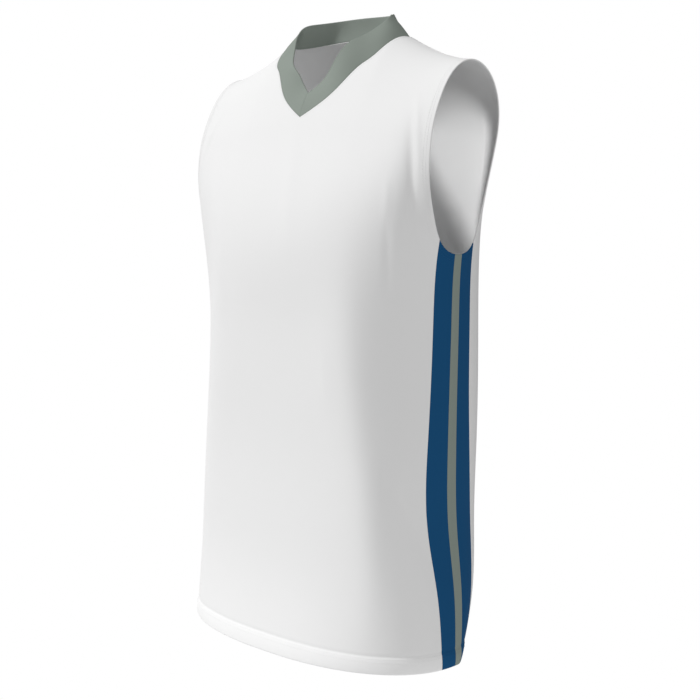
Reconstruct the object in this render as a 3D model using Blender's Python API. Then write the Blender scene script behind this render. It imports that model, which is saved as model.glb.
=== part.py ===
"""A sleeveless V-neck basketball jersey, filled out as it is worn.

Metres, +Z up. The front faces -Y and the wearer's left is +X. The origin lies midway between the
high points of the two shoulders, where the wearer carries the jersey.

The jersey is a hollow form of level rings, drawn in over the shoulders. Nine pieces of knit are
cut from that form: a front and a back panel, a collar band, and on each side a grey stripe
between two blue strips. Every piece is a wall of cloth, and pieces that are sewn together stand
a seam's gap apart.
"""
import math

import bpy
import numpy as np

# ---------------------------------------------------------------- driving sizes
LENGTH = 0.720             # high point of the shoulder down to the hem
WALL = 0.0015              # thickness of the cloth
HEM_WALL = 0.0026          # thickness where the hem is turned up
HEM_HEIGHT = 0.020         # height of the turned hem
HEM_EASE = 0.002           # height over which the hem thins to the cloth
SEAM_GAP = 0.0003          # clear gap between two pieces at a seam
NECK_SEAM_INSET = 0.0004   # from the collar's sewn edge to the panels, which meet it aslant
SHOULDER_SEAM_INSET = 0.0002   # from the shoulder line to either panel

SHOULDER_ROLL = 0.110      # radius in height over which the cloth rolls over the shoulder
SHOULDER_FALL = 0.0329     # how far the shoulder line falls from the neck to its tip
SHOULDER_CURVE = 1.60      # above 1 it falls faster near the neck
SHOULDER_TIP = 0.189       # centre line to the tip of the shoulder
NECK_RISE = 0.017          # how far that line would still climb from the neck to the centre
SLOPE_REACH = 0.260        # drop at which the slope of the shoulders has died out

NECK_HALF_WIDTH = 0.0915   # centre line to the collar seam on the shoulder
BACK_NECK_RISE = 0.007     # middle of the back neck above the shoulders
BACK_MIDDLE_BOX = 2.3      # squareness of the rings at the middle of the back
SLANT_BOX = 14.8           # squareness of the corners beside a slant of the front
SLANT_CUT = 0.951          # below 1 the slant stands further out, and meets the side in a curve
SIDE_EASE = 0.1            # eases the slant's lean to nothing at the side line

# Level rings of the form, from the shoulders down to the hem. half_width is centre line to side,
# the depths go forward and back from the side line, side_line is how far that line stands behind
# the origin, and a box of 2 is an ellipse, more is squarer, less is more pointed at the side.
# slant is how far the draped front is made of flat planes, and lean how far its slanted plane,
# between the front and the side, turns to the front.
RING_COLUMNS = (
    "drop", "half_width", "front_depth", "back_depth", "side_line", "front_box", "back_box",
    "slant", "lean",
)
RINGS = (
    (0.000, 0.2445, 0.0610, 0.0890, 0.0300, 5.85, 2.45, 0.00, 0.31),
    (0.060, 0.2360, 0.0636, 0.1034, 0.0221, 4.45, 1.95, 0.00, 0.31),
    (0.120, 0.2231, 0.0767, 0.1165, 0.0134, 3.42, 1.74, 0.05, 0.31),
    (0.180, 0.2079, 0.0937, 0.1263, 0.0057, 2.71, 1.75, 0.07, 0.40),
    (0.240, 0.1960, 0.1028, 0.1363, 0.0008, 2.28, 1.93, 0.16, 0.47),
    (0.320, 0.1918, 0.1003, 0.1296, -0.0004, 2.05, 2.32, 0.69, 0.51),
    (0.400, 0.1897, 0.0993, 0.1228, 0.0001, 2.09, 2.72, 0.85, 0.48),
    (0.480, 0.1879, 0.0996, 0.1159, 0.0008, 2.26, 2.98, 0.66, 0.38),
    (0.560, 0.1875, 0.1046, 0.1077, 0.0037, 2.45, 2.94, 0.46, 0.28),
    (0.640, 0.1955, 0.1113, 0.0974, 0.0048, 2.52, 2.45, 0.22, 0.24),
    (0.720, 0.2017, 0.1220, 0.0876, -0.0014, 2.35, 1.34, 0.00, 0.25),
)

# Cloth widths of a side panel at each drop, measured from its middle line.
SIDE_COLUMNS = ("drop", "half_panel", "half_stripe")
SIDE_PANEL = (
    (0.240, 0.0307, 0.0062),
    (0.340, 0.0298, 0.0064),
    (0.440, 0.0329, 0.0070),
    (0.540, 0.0382, 0.0078),
    (0.640, 0.0324, 0.0068),
    (0.720, 0.0266, 0.0060),
)

# Height of the front neck seam, from the point of the V at share 0 to the shoulder at share 1.
NECK_COLUMNS = ("share", "height")
FRONT_NECK = (
    (0.00, -0.0926),
    (0.25, -0.0792),
    (0.50, -0.0600),
    (0.75, -0.0335),
    (0.90, -0.0205),
    (1.00, 0.0000),
)

# The armhole's edge stands out as far as the shoulder's tip at its top and as far as the side at
# the underarm. Halfway down it is cut in a little towards the neck.
ARMHOLE_BOTTOM = 0.249     # drop of the underarm
SHOULDER_TIP_CURVE = 1.3   # above 1 the edge leaves the tip's distance sooner
ARMHOLE_CUT_IN = {"front": 0.0012, "back": 0.0031}
UNDERARM_TURN = 0.4        # how far the edge turns in per metre above the underarm, at its bottom
UNDERARM_ROUND = 0.020     # height over which that turn dies out

# The collar's free edge, all the way round. station counts along its sewn edge: 0 the point of
# the V, 1 the left shoulder, 2 the middle of the back, 3 the right shoulder, where it sits lower.
COLLAR_COLUMNS = ("station", "x", "y", "z")
COLLAR_EDGE = (
    (0.000, 0.0000, -0.0410, -0.0635),
    (0.250, 0.0124, -0.0346, -0.0535),
    (0.500, 0.0265, -0.0313, -0.0375),
    (0.750, 0.0505, -0.0230, -0.0070),
    (0.875, 0.0630, -0.0062, 0.0030),
    (1.000, 0.0745, 0.0160, 0.0205),
    (1.125, 0.0703, 0.0269, 0.0262),
    (1.250, 0.0635, 0.0385, 0.0287),
    (1.500, 0.0445, 0.0600, 0.0310),
    (2.000, 0.0000, 0.0655, 0.0325),
    (2.500, -0.0430, 0.0590, 0.0315),
    (2.750, -0.0666, 0.0438, 0.0290),
    (3.000, -0.0765, 0.0195, 0.0155),
    (3.125, -0.0620, -0.0010, -0.0060),
    (3.250, -0.0460, -0.0199, -0.0220),
    (3.500, -0.0260, -0.0313, -0.0380),
    (3.750, -0.0124, -0.0346, -0.0535),
)
COLLAR_WALL = 0.0020       # thickness of the folded rib
COLLAR_ROLL = 0.0010       # how far the band bulges outwards between its edges

# Rows and columns of facets.
SIDE_ROWS = 18             # from above the hem to the underarm
NECK_ROWS = {"front": 10, "back": 6}
ARM_ROWS = 16              # along the armhole
ARM_ROW_CURVE = 1.3        # above 1 the rows draw together towards the shoulder's tip
PANEL_COLUMNS = 14         # from the centre line or the neck to the side
STRIP_COLUMNS = 2

# How finely the lines of the cut are searched for.
RING_STEPS = 12            # Newton's steps for a point of a ring
HALVINGS = 40              # of a span of reach
SIDE_SPAN = 1.2            # furthest turn from the side line on which a side panel lies
SIDE_SAMPLES = 241         # over that span
TOP_LEVEL = 0.6            # highest level on the armhole at which a side panel ends
TOP_SAMPLES = 121          # from that level to the underarm

FRONT, BACK = -1, 1        # the half of the form on which a piece lies
LEFT, RIGHT = 1, -1        # the wearer's side on which a piece lies

WHITE_KNIT = {"colour": (0.90, 0.90, 0.90, 1), "roughness": 0.75}
BLUE_KNIT = {"colour": (0.006, 0.048, 0.118, 1), "roughness": 0.65}
GREY_KNIT = {"colour": (0.17, 0.20, 0.17, 1), "roughness": 0.70}


# ---------------------------------------------------------------- the form
def smooth_column(table, columns, name, drop):
    """Natural cubic spline through one column of a table, against its first column."""
    rows = np.array(table)
    knots = rows[:, 0]
    values = rows[:, columns.index(name)]
    step = np.diff(knots)
    slope = np.diff(values) / step
    matrix = np.eye(len(knots))
    bending = np.zeros(len(knots))
    for i in range(1, len(knots) - 1):
        matrix[i, i - 1:i + 2] = step[i - 1], 2 * (step[i - 1] + step[i]), step[i]
        bending[i] = 6 * (slope[i] - slope[i - 1])
    bend = np.linalg.solve(matrix, bending)
    i = np.clip(np.searchsorted(knots, drop) - 1, 0, len(step) - 1)
    past = drop - knots[i]
    left = knots[i + 1] - drop
    cubic = (bend[i] * left ** 3 + bend[i + 1] * past ** 3) / (6 * step[i])
    falling = (values[i] / step[i] - bend[i] * step[i] / 6) * left
    rising = (values[i + 1] / step[i] - bend[i + 1] * step[i] / 6) * past
    return cubic + falling + rising


def ring(name, drop):
    return smooth_column(RINGS, RING_COLUMNS, name, drop)


def rounded_size(across, along, front, drop):
    """How far a rounded ring stands out, in shares of its half width and depth. It is where its
    two parts, each raised to its box, add up to 1, found by Newton's steps."""
    across_box = np.where(front, ring("front_box", drop), BACK_MIDDLE_BOX)
    along_box = np.where(front, ring("front_box", drop), ring("back_box", drop))
    size = np.ones(np.broadcast(across, across_box).shape)
    for _ in range(RING_STEPS):
        across_part = (size * across) ** across_box
        along_part = (size * along) ** along_box
        growth = across_box * across_part + along_box * along_part
        size = size - size * (across_part + along_part - 1) / growth
    return size


def slanted_size(across, along, drop):
    """The same for a ring of flat planes: one in front, one at the side, and between them one
    that leans forward. Their corners are rounded by SLANT_BOX."""
    leaning = SLANT_CUT * (across + ring("lean", drop) * along ** 2 / (along + SIDE_EASE))
    planes = across ** SLANT_BOX + along ** SLANT_BOX + leaning ** SLANT_BOX
    return ((1 + SLANT_CUT ** SLANT_BOX) / planes) ** (1 / SLANT_BOX)


def ring_size(turn, drop):
    """Size of a ring at a turn. On the front, slant blends the rounded ring into the flat one."""
    across = np.abs(np.cos(turn))
    along = np.abs(np.sin(turn))
    front = np.sin(turn) < 0
    slant = np.where(front, ring("slant", drop), 0)
    rounded = rounded_size(across, along, front, drop)
    return rounded * (1 - slant) + slanted_size(across, along, drop) * slant


def roll_and_drop(reach):
    """A length of cloth down from the shoulder line, as an angle of roll and a drop."""
    roll = np.clip(reach / SHOULDER_ROLL, -math.pi / 2, math.pi / 2)
    straight = np.maximum(np.abs(reach) - SHOULDER_ROLL * math.pi / 2, 0)
    return roll, SHOULDER_ROLL * (1 - np.cos(roll)) + straight


def reach_of(drop):
    """The length of cloth down from the shoulder line that ends at this drop."""
    rolled = np.arccos(1 - np.clip(drop / SHOULDER_ROLL, 0, 1)) * SHOULDER_ROLL
    return rolled + np.maximum(drop - SHOULDER_ROLL, 0)


def shoulder_fall(x):
    """Fall of the shoulder line at x: a rising curve over the neck, a falling one to the tip."""
    x = np.abs(x)
    along = np.clip((x - NECK_HALF_WIDTH) / (SHOULDER_TIP - NECK_HALF_WIDTH), 0, None)
    falling = SHOULDER_FALL * (1 - np.sign(1 - along) * np.abs(1 - along) ** SHOULDER_CURVE)
    return falling - NECK_RISE * (1 - np.clip(x / NECK_HALF_WIDTH, 0, 1) ** 2)


def height_at(x, drop):
    """Height of the ring of this drop at x. The shoulders' slope fades out further down."""
    return -(drop + shoulder_fall(x) * np.clip(1 - drop / SLOPE_REACH, 0, 1) ** 2)


def form(turn, reach):
    """Point of the form. turn goes round a ring, from 0 at the left side to -90 degrees at the
    front centre and 90 at the back centre; reach is the cloth's length down from the shoulder."""
    roll, drop = roll_and_drop(reach)
    size = ring_size(turn, drop)
    depth = np.where(np.sin(turn) < 0, ring("front_depth", drop), ring("back_depth", drop))
    x = ring("half_width", drop) * np.cos(turn) * size
    y = ring("side_line", drop) + depth * np.sin(turn) * size * np.sin(roll)
    return np.stack([x, y, height_at(x, drop)], axis=-1)


def outward(turn, reach):
    """Unit normal of the form, from small steps along both of its directions."""
    tiny = 1e-4
    round_ring = form(turn + tiny, reach) - form(turn - tiny, reach)
    down = form(turn, reach + tiny) - form(turn, reach - tiny)
    normal = np.cross(down, round_ring)
    return normal / np.linalg.norm(normal, axis=-1, keepdims=True)


def half_name(half):
    return "front" if half == FRONT else "back"


def turn_at_x(x, reach, half):
    """Halve the span of turn until the ring stands at each wanted x, on the front or back half."""
    low = np.zeros(len(reach))
    high = np.full(len(reach), math.pi / 2)
    for _ in range(HALVINGS):
        middle = (low + high) / 2
        outside = form(half * middle, reach)[:, 0] > x
        low = np.where(outside, middle, low)
        high = np.where(outside, high, middle)
    return np.where(x == 0, half * math.pi / 2, half * (low + high) / 2)


def turn_past_side(cloth, reach, half):
    """The turn that lies a length of cloth round from the side line, on the front or back half."""
    samples = np.linspace(0, SIDE_SPAN, SIDE_SAMPLES)
    turns = np.empty(len(reach))
    for i in range(len(reach)):
        points = form(half * samples, np.full(len(samples), reach[i]))
        lengths = np.cumsum(np.linalg.norm(np.diff(points, axis=0), axis=1))
        turns[i] = half * np.interp(cloth[i], np.concatenate([[0], lengths]), samples)
    return turns


def reach_where(x, height):
    """Halve the span of reach until the form stands at each wanted height at its x."""
    low = np.zeros(len(height))
    high = np.full(len(height), reach_of(LENGTH / 2))
    for _ in range(HALVINGS):
        middle = (low + high) / 2
        above = height_at(x, roll_and_drop(middle)[1]) > height
        low = np.where(above, middle, low)
        high = np.where(above, high, middle)
    return (low + high) / 2


# ---------------------------------------------------------------- the lines of the cut
def neck_line(share, half, widen=0.0):
    """Turn and reach of the neck seam. share runs from 0 at the centre to 1 at the shoulder."""
    x = (NECK_HALF_WIDTH + widen) * share
    if half == FRONT:
        height = smooth_column(FRONT_NECK, NECK_COLUMNS, "height", share) - widen * (1 - share)
    else:
        height = (BACK_NECK_RISE - widen) * (1 - share ** 2)
    reach = reach_where(x, height)
    return turn_at_x(x, reach, half), reach


def armhole_line(level, half):
    """Turn and reach of the armhole's edge. level runs from 0 at its top to 1 at the underarm."""
    underarm = ring("half_width", ARMHOLE_BOTTOM)
    x = underarm + (SHOULDER_TIP - underarm) * (1 - level) ** SHOULDER_TIP_CURVE
    x = x - ARMHOLE_CUT_IN[half_name(half)] * np.sin(math.pi * level)
    above = (ARMHOLE_BOTTOM - SHOULDER_FALL) * (1 - level)
    x = x - UNDERARM_TURN * above * np.exp(-above / UNDERARM_ROUND)
    reach = reach_where(x, above - ARMHOLE_BOTTOM)
    return turn_at_x(x, reach, half), reach


def side_cloth(share, drop):
    """Cloth from the side line to a lengthwise line of the side panel: share 0 is the edge of
    the stripe and 1 the seam with the front or back panel."""
    stripe = smooth_column(SIDE_PANEL, SIDE_COLUMNS, "half_stripe", drop)
    panel = smooth_column(SIDE_PANEL, SIDE_COLUMNS, "half_panel", drop)
    return stripe + (panel - stripe) * share


def line_top(cloth_of, half):
    """Level on the armhole at which a lengthwise line of the side panel reaches its edge."""
    level = np.linspace(TOP_LEVEL, 1, TOP_SAMPLES)
    turn, reach = armhole_line(level, half)
    line = turn_past_side(cloth_of(roll_and_drop(reach)[1]), reach, half)
    inside = np.abs(line) - np.abs(turn)
    return float(np.interp(0, inside, level))


def rows_from_hem(top):
    """Reach of the rows of facets from the hem up to a top: the turned hem, then even steps."""
    hem = reach_of(LENGTH)
    even = np.linspace(hem - HEM_HEIGHT - HEM_EASE, top, SIDE_ROWS)
    return np.concatenate([[hem, hem - HEM_HEIGHT], even])


# ---------------------------------------------------------------- making the solids
def finish(look, name):
    material = bpy.data.materials.new(name)
    material.use_nodes = True
    shader = material.node_tree.nodes["Principled BSDF"]
    shader.inputs["Base Color"].default_value = look["colour"]
    shader.inputs["Roughness"].default_value = look["roughness"]
    shader.inputs["Metallic"].default_value = 0.0
    return material


def turned(face):
    """The same face seen from its other side, starting at the same corner."""
    return face[:1] + face[:0:-1]


def cloth_wall(name, outer, inner, look, flip=False, mirrored=False, ring_shaped=False):
    """A wall between two grids of points. Its border is closed, except along the centre plane
    of a mirrored piece, where the other half joins it. In a ring the last row meets the first."""
    rows, columns = outer.shape[:2]
    points = np.concatenate([outer.reshape(-1, 3), inner.reshape(-1, 3)])
    behind = rows * columns
    index = np.arange(behind).reshape(rows, columns)
    if ring_shaped:
        index = np.concatenate([index, index[:1]])
        borders = [list(index[::-1, 0]), list(index[:, -1])]
    else:
        border = list(index[0, :-1]) + list(index[:-1, -1]) + list(index[-1, :0:-1]) + list(index[::-1, 0])
        borders = [border]
    faces = []
    for r in range(len(index) - 1):
        for c in range(columns - 1):
            quad = [index[r, c], index[r, c + 1], index[r + 1, c + 1], index[r + 1, c]]
            faces.append(quad)
            faces.append([i + behind for i in turned(quad)])
    for border in borders:
        for here, there in zip(border, border[1:]):
            on_centre = abs(points[here, 0]) < 1e-9 and abs(points[there, 0]) < 1e-9
            if not (mirrored and on_centre):
                faces.append([there, here, here + behind, there + behind])
    if flip:
        faces = [turned(face) for face in faces]
    mesh = bpy.data.meshes.new(name)
    mesh.from_pydata(points.tolist(), [], [[int(i) for i in face] for face in faces])
    mesh.materials.append(finish(look, name))
    piece = bpy.data.objects.new(name, mesh)
    bpy.context.scene.collection.objects.link(piece)
    if mirrored:
        mirror = piece.modifiers.new("other half", "MIRROR")
        mirror.use_axis = (True, False, False)
        mirror.merge_threshold = 0.00001
    return piece


def wall_grids(turn, reach, thickness):
    """Outer and inner points of a wall on the form; points on the centre line stay on it."""
    outer = form(turn, reach)
    inner = outer - outward(turn, reach) * thickness[:, None, None]
    centred = np.abs(np.cos(turn)) < 1e-9
    outer[centred, 0] = 0
    inner[centred, 0] = 0
    return outer, inner


def thickness_of_rows(count):
    return np.concatenate([[HEM_WALL, HEM_WALL], np.full(count - 2, WALL)])


def body_panel(name, half, look):
    """Front or back panel: rows of facets from the centre line or neck to the side or armhole."""
    seam_top = line_top(lambda drop: side_cloth(1, drop), half)
    top_reach = float(armhole_line(np.array([seam_top]), half)[1][0])
    side_reach = rows_from_hem(top_reach)
    seam_cloth = side_cloth(1, roll_and_drop(side_reach)[1]) + SEAM_GAP / 2
    side_turn = turn_past_side(seam_cloth, side_reach, half)
    level = seam_top * np.linspace(1, 0, ARM_ROWS + 1)[1:] ** ARM_ROW_CURVE
    arm_turn, arm_reach = armhole_line(level, half)

    neck_rows = NECK_ROWS[half_name(half)]
    neck_turn, neck_reach = neck_line(np.linspace(0, 1, neck_rows + 1), half, NECK_SEAM_INSET)
    chest_reach = np.linspace(top_reach, neck_reach[0], ARM_ROWS - neck_rows + 1)[1:]
    centre = half * math.pi / 2
    inner_turn = np.concatenate([np.full(len(side_reach) + len(chest_reach), centre), neck_turn[1:]])
    inner_reach = np.concatenate([side_reach, chest_reach, neck_reach[1:]])

    share = np.linspace(0, 1, PANEL_COLUMNS + 1)
    outer_turn = np.concatenate([side_turn, arm_turn])[:, None]
    outer_reach = np.concatenate([side_reach, arm_reach])[:, None]
    turn = inner_turn[:, None] * (1 - share) + outer_turn * share
    reach = inner_reach[:, None] * (1 - share) + outer_reach * share
    reach = np.maximum(reach, SHOULDER_SEAM_INSET)
    outer, inner = wall_grids(turn, reach, thickness_of_rows(len(turn)))
    return cloth_wall(name, outer, inner, look, flip=half == BACK, mirrored=True)


def side_strip(name, side, lines, look):
    """A lengthwise strip of a side panel, between lines given as (half, cloth as a function)."""
    turns = []
    reaches = []
    for half, cloth_of in lines:
        level = line_top(cloth_of, half)
        reach = rows_from_hem(float(armhole_line(np.array([level]), half)[1][0]))
        turns.append(turn_past_side(cloth_of(roll_and_drop(reach)[1]), reach, half))
        reaches.append(reach)
    turn = np.stack(turns, axis=1)
    outer, inner = wall_grids(turn, np.stack(reaches, axis=1), thickness_of_rows(len(turn)))
    scale = np.array([side, 1, 1])
    return cloth_wall(name, outer * scale, inner * scale, look, flip=side == RIGHT)


def strip_lines(half):
    """Lines of a blue strip, from the outer seam to the stripe, each half a gap inside its edge."""
    lines = []
    for share in np.linspace(1, 0, STRIP_COLUMNS + 1):
        inset = (1 - 2 * share) * SEAM_GAP / 2
        lines.append((half, lambda drop, share=share, inset=inset: side_cloth(share, drop) + inset))
    return lines


def stripe_line(half, share):
    return half, lambda drop: (side_cloth(0, drop) - SEAM_GAP / 2) * share


def collar(name, look):
    """The band: a ring from its sewn edge on the neck line to its free edge, with a slight roll."""
    front_turn, front_reach = neck_line(np.linspace(0, 1, NECK_ROWS["front"] + 1), FRONT)
    back_turn, back_reach = neck_line(np.linspace(1, 0, NECK_ROWS["back"] + 1)[1:], BACK)
    left = form(np.concatenate([front_turn, back_turn]), np.concatenate([front_reach, back_reach]))
    left[[0, -1], 0] = 0
    sewn = np.concatenate([left, left[-2:0:-1] * [-1, 1, 1]])
    left_station = np.concatenate([np.linspace(0, 1, NECK_ROWS["front"] + 1),
                                   np.linspace(1, 2, NECK_ROWS["back"] + 1)[1:]])
    station = np.concatenate([left_station, 4 - left_station[-2:0:-1]])
    edge = COLLAR_EDGE + ((4.0, *COLLAR_EDGE[0][1:]),)
    free = np.stack([smooth_column(edge, COLLAR_COLUMNS, axis, station) for axis in "xyz"], axis=1)
    straight = np.stack([sewn, (sewn + free) / 2, free], axis=1)
    along = np.roll(straight, -1, axis=0) - np.roll(straight, 1, axis=0)
    normal = np.cross(along, (free - sewn)[:, None, :])
    normal /= np.linalg.norm(normal, axis=-1, keepdims=True)
    outer = straight + normal * np.array([0, COLLAR_ROLL, 0])[None, :, None]
    return cloth_wall(name, outer, outer - normal * COLLAR_WALL, look, flip=True, ring_shaped=True)


def build():
    for old in list(bpy.data.objects):
        bpy.data.objects.remove(old, do_unlink=True)
    body_panel("front_panel", FRONT, WHITE_KNIT)
    body_panel("back_panel", BACK, WHITE_KNIT)
    collar("collar", GREY_KNIT)
    for side, word in ((LEFT, "left"), (RIGHT, "right")):
        side_strip(word + "_side_front", side, strip_lines(FRONT), BLUE_KNIT)
        stripe_lines = [stripe_line(FRONT, 1), stripe_line(FRONT, 0), stripe_line(BACK, 1)]
        side_strip(word + "_side_stripe", side, stripe_lines, GREY_KNIT)
        side_strip(word + "_side_back", side, strip_lines(BACK)[::-1], BLUE_KNIT)


build()
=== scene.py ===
"""Looks of a sleeveless V-neck basketball jersey, filled out as it is worn.

Metres, +Z up. The front faces -Y and the wearer's left is +X. Each cut piece of knit becomes a thin
closed shell on the jersey's form, with its hem, its folds and its rows of stitches.
"""
import math

import bpy
import numpy as np
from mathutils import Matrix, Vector


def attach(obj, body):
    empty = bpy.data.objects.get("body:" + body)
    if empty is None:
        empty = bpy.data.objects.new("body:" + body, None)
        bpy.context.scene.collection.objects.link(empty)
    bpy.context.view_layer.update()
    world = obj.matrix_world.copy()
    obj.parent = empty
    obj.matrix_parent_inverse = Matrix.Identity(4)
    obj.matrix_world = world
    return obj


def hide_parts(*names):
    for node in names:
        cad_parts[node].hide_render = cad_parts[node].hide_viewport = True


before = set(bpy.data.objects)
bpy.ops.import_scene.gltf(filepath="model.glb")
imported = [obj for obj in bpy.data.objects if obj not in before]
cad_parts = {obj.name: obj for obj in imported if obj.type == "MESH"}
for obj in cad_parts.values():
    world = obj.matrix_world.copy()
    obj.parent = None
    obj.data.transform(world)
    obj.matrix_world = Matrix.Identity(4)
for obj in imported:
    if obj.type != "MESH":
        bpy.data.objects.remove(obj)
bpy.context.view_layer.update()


# ================================================================ front panel
# White polyester interlock cut in one piece, with a V neck. It is sewn to the back along the
# shoulders and to the blue strips down the sides; hem and armholes are turned in and stitched.
FRONT, BACK = -1, 1        # the half of the form on which a piece lies
LEFT, RIGHT = 1, -1        # the wearer's side on which a piece lies

LENGTH = 0.720             # high point of the shoulder down to the hem
CLOTH = 0.0009             # thickness of one layer
HEM_CLOTH = 0.0021         # thickness of the turned hem
HEM_HEIGHT = 0.020         # height of the turned hem
HEM_PUFF = 0.0010          # how far the hem swells outwards between its stitches and its fold
HEM_PUFF_CURVE = 0.7       # below 1 the swell is flatter in its middle
STITCH_DIP = 0.0004        # how far the cloth is drawn in at the top of the hem
STITCH_DIP_HEIGHT = 0.0022
ARM_HEM_CLOTH = 0.0016     # thickness of the turned armhole
ARM_HEM_WIDTH = 0.009
TURNED_STEP = 0.0012       # length over which a turned edge thins to one layer
TURNED_INWARDS = 0.35      # share of its extra thickness by which its middle lies further in

SHOULDER_ROLL = 0.110      # radius in height over which the cloth rolls over the shoulder
SHOULDER_FALL = 0.0329     # how far the shoulder line falls from the neck to its tip
SHOULDER_CURVE = 1.60      # above 1 it falls faster near the neck
SHOULDER_TIP = 0.189       # centre line to the tip of the shoulder
NECK_RISE = 0.017          # how far that line would still climb from the neck to the centre
SLOPE_REACH = 0.260        # drop at which the slope of the shoulders has died out
NECK_HALF_WIDTH = 0.0915   # centre line to the collar seam on the shoulder
BACK_NECK_RISE = 0.007     # middle of the back neck above the shoulders
BACK_MIDDLE_BOX = 2.3      # squareness of the rings at the middle of the back
SLANT_BOX = 14.8           # squareness of the corners beside a slant of the front
SLANT_CUT = 0.951          # below 1 the slant stands further out, and meets the side in a curve
SIDE_EASE = 0.1            # eases the slant's lean to nothing at the side line

# Level rings of the form, from the shoulders down to the hem. half_width is centre line to side,
# the depths go forward and back from the side line, side_line is how far that line stands behind
# the origin, and a box of 2 is an ellipse, more is squarer, less is more pointed at the side.
# slant is how far the draped front is made of flat planes, and lean how far its slanted plane,
# between the front and the side, turns to the front.
RING_COLUMNS = (
    "drop", "half_width", "front_depth", "back_depth", "side_line", "front_box", "back_box",
    "slant", "lean",
)
RINGS = (
    (0.000, 0.2445, 0.0610, 0.0890, 0.0300, 5.85, 2.45, 0.00, 0.31),
    (0.060, 0.2360, 0.0636, 0.1034, 0.0221, 4.45, 1.95, 0.00, 0.31),
    (0.120, 0.2231, 0.0767, 0.1165, 0.0134, 3.42, 1.74, 0.05, 0.31),
    (0.180, 0.2079, 0.0937, 0.1263, 0.0057, 2.71, 1.75, 0.07, 0.40),
    (0.240, 0.1960, 0.1028, 0.1363, 0.0008, 2.28, 1.93, 0.16, 0.47),
    (0.320, 0.1918, 0.1003, 0.1296, -0.0004, 2.05, 2.32, 0.69, 0.51),
    (0.400, 0.1897, 0.0993, 0.1228, 0.0001, 2.09, 2.72, 0.85, 0.48),
    (0.480, 0.1879, 0.0996, 0.1159, 0.0008, 2.26, 2.98, 0.66, 0.38),
    (0.560, 0.1875, 0.1046, 0.1077, 0.0037, 2.45, 2.94, 0.46, 0.28),
    (0.640, 0.1955, 0.1113, 0.0974, 0.0048, 2.52, 2.45, 0.22, 0.24),
    (0.720, 0.2017, 0.1220, 0.0876, -0.0014, 2.35, 1.34, 0.00, 0.25),
)

# Cloth widths of a side panel at each drop, measured from its middle line.
SIDE_COLUMNS = ("drop", "half_panel", "half_stripe")
SIDE_PANEL = (
    (0.240, 0.0307, 0.0062),
    (0.340, 0.0298, 0.0064),
    (0.440, 0.0329, 0.0070),
    (0.540, 0.0382, 0.0078),
    (0.640, 0.0324, 0.0068),
    (0.720, 0.0266, 0.0060),
)

# Height of the front neck seam, from the point of the V at share 0 to the shoulder at share 1.
NECK_COLUMNS = ("share", "height")
FRONT_NECK = (
    (0.00, -0.0926),
    (0.25, -0.0792),
    (0.50, -0.0600),
    (0.75, -0.0335),
    (0.90, -0.0205),
    (1.00, 0.0000),
)

# The armhole's edge stands out as far as the shoulder's tip at its top and as far as the side at
# the underarm. Halfway down it is cut in a little towards the neck.
ARMHOLE_BOTTOM = 0.249     # high point of the shoulder down to the underarm
SHOULDER_TIP_CURVE = 1.3   # above 1 the edge comes in faster below the tip
ARMHOLE_CUT_IN = {FRONT: 0.0012, BACK: 0.0031}
UNDERARM_TURN = 0.4        # how far the edge turns in per metre above the underarm, at its bottom
UNDERARM_ROUND = 0.020     # height over which that turn dies out
SIDE_PANEL_LEVEL = 0.6     # share of the way down the armhole, above which no side panel reaches

# Soft folds. A fold runs from a start to an end, each given as the cloth across from the panel's
# centre line, towards the wearer's left, and down from the shoulder line. It bows sideways by bow,
# fades out over half_width and rises by rise at its middle; a trough has a rise below zero.
FOLD_FADE = 1.2            # above 1 its ends run out more gently
FRONT_FOLDS = (
    # from_across, from_down, to_across, to_down, bow, half_width, rise
    (0.160, 0.105, 0.190, 0.250, 0.003, 0.0042, 0.0009),
    (0.162, 0.145, 0.186, 0.275, 0.001, 0.0042, -0.0013),
    (0.172, 0.140, 0.194, 0.340, 0.000, 0.0150, -0.0036),
    (0.150, 0.215, 0.156, 0.285, 0.000, 0.0050, 0.0006),
    (0.155, 0.262, 0.158, 0.362, 0.001, 0.0040, -0.0006),
    (0.074, 0.385, 0.086, 0.500, 0.002, 0.0090, 0.0006),
    (-0.012, 0.150, 0.032, 0.325, 0.004, 0.0120, 0.0008),
    (0.158, 0.535, 0.213, 0.665, -0.004, 0.0110, -0.0012),
    (-0.112, 0.250, -0.092, 0.400, 0.004, 0.0120, 0.0012),
    (-0.156, 0.190, -0.138, 0.410, 0.004, 0.0110, -0.0013),
    (-0.157, 0.112, -0.184, 0.248, -0.003, 0.0050, 0.0010),
    (-0.168, 0.560, -0.200, 0.680, 0.004, 0.0120, -0.0010),
)

# Rows of stitches, as heights above the hem's fold or distances from a border.
HEM_STITCHES = (0.0142, 0.0178)
ARM_STITCHES = (0.0046, 0.0076)
NECK_STITCHES = 0.0024
STITCH_PITCH = 0.0033
STITCH_LENGTH = 0.0026
THREAD = 0.00045           # thickness of the sewing thread
BAR_RINGS, BAR_SIDES = 5, 6     # rings of points along a stitch, and points round each
BAR_TIP = 0.96             # share of half a stitch at which its outermost ring stands
BAR_LIFT = 0.3             # height of its middle over the cloth, in thicknesses of thread
BAR_DIVE = 0.8             # how far its ends would go down from there

# Distances of the mesh's lines from a border, so that the edge comes out round.
EDGE_STEPS = np.array([0.0, 0.00006, 0.0002, 0.0004, 0.0007, 0.0012])
HEM_MESH_STEP = 0.0013     # on the hem
HEM_MESH_PAST = 0.006      # how far those finer steps go on above the hem
MESH_STEP = 0.0034         # further up
UPPER_ROWS = 84            # rows of a panel between the underarm and the shoulder seam
NECK_ROWS = {FRONT: 46, BACK: 34}    # those of them that start at the neck seam
PANEL_COLUMNS = 84         # columns of one half of a panel
PANEL_HALF, NECK_EDGE, ARM_EDGE = 0.21, 0.19, 0.21    # rough lengths, only for the edge steps

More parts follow.
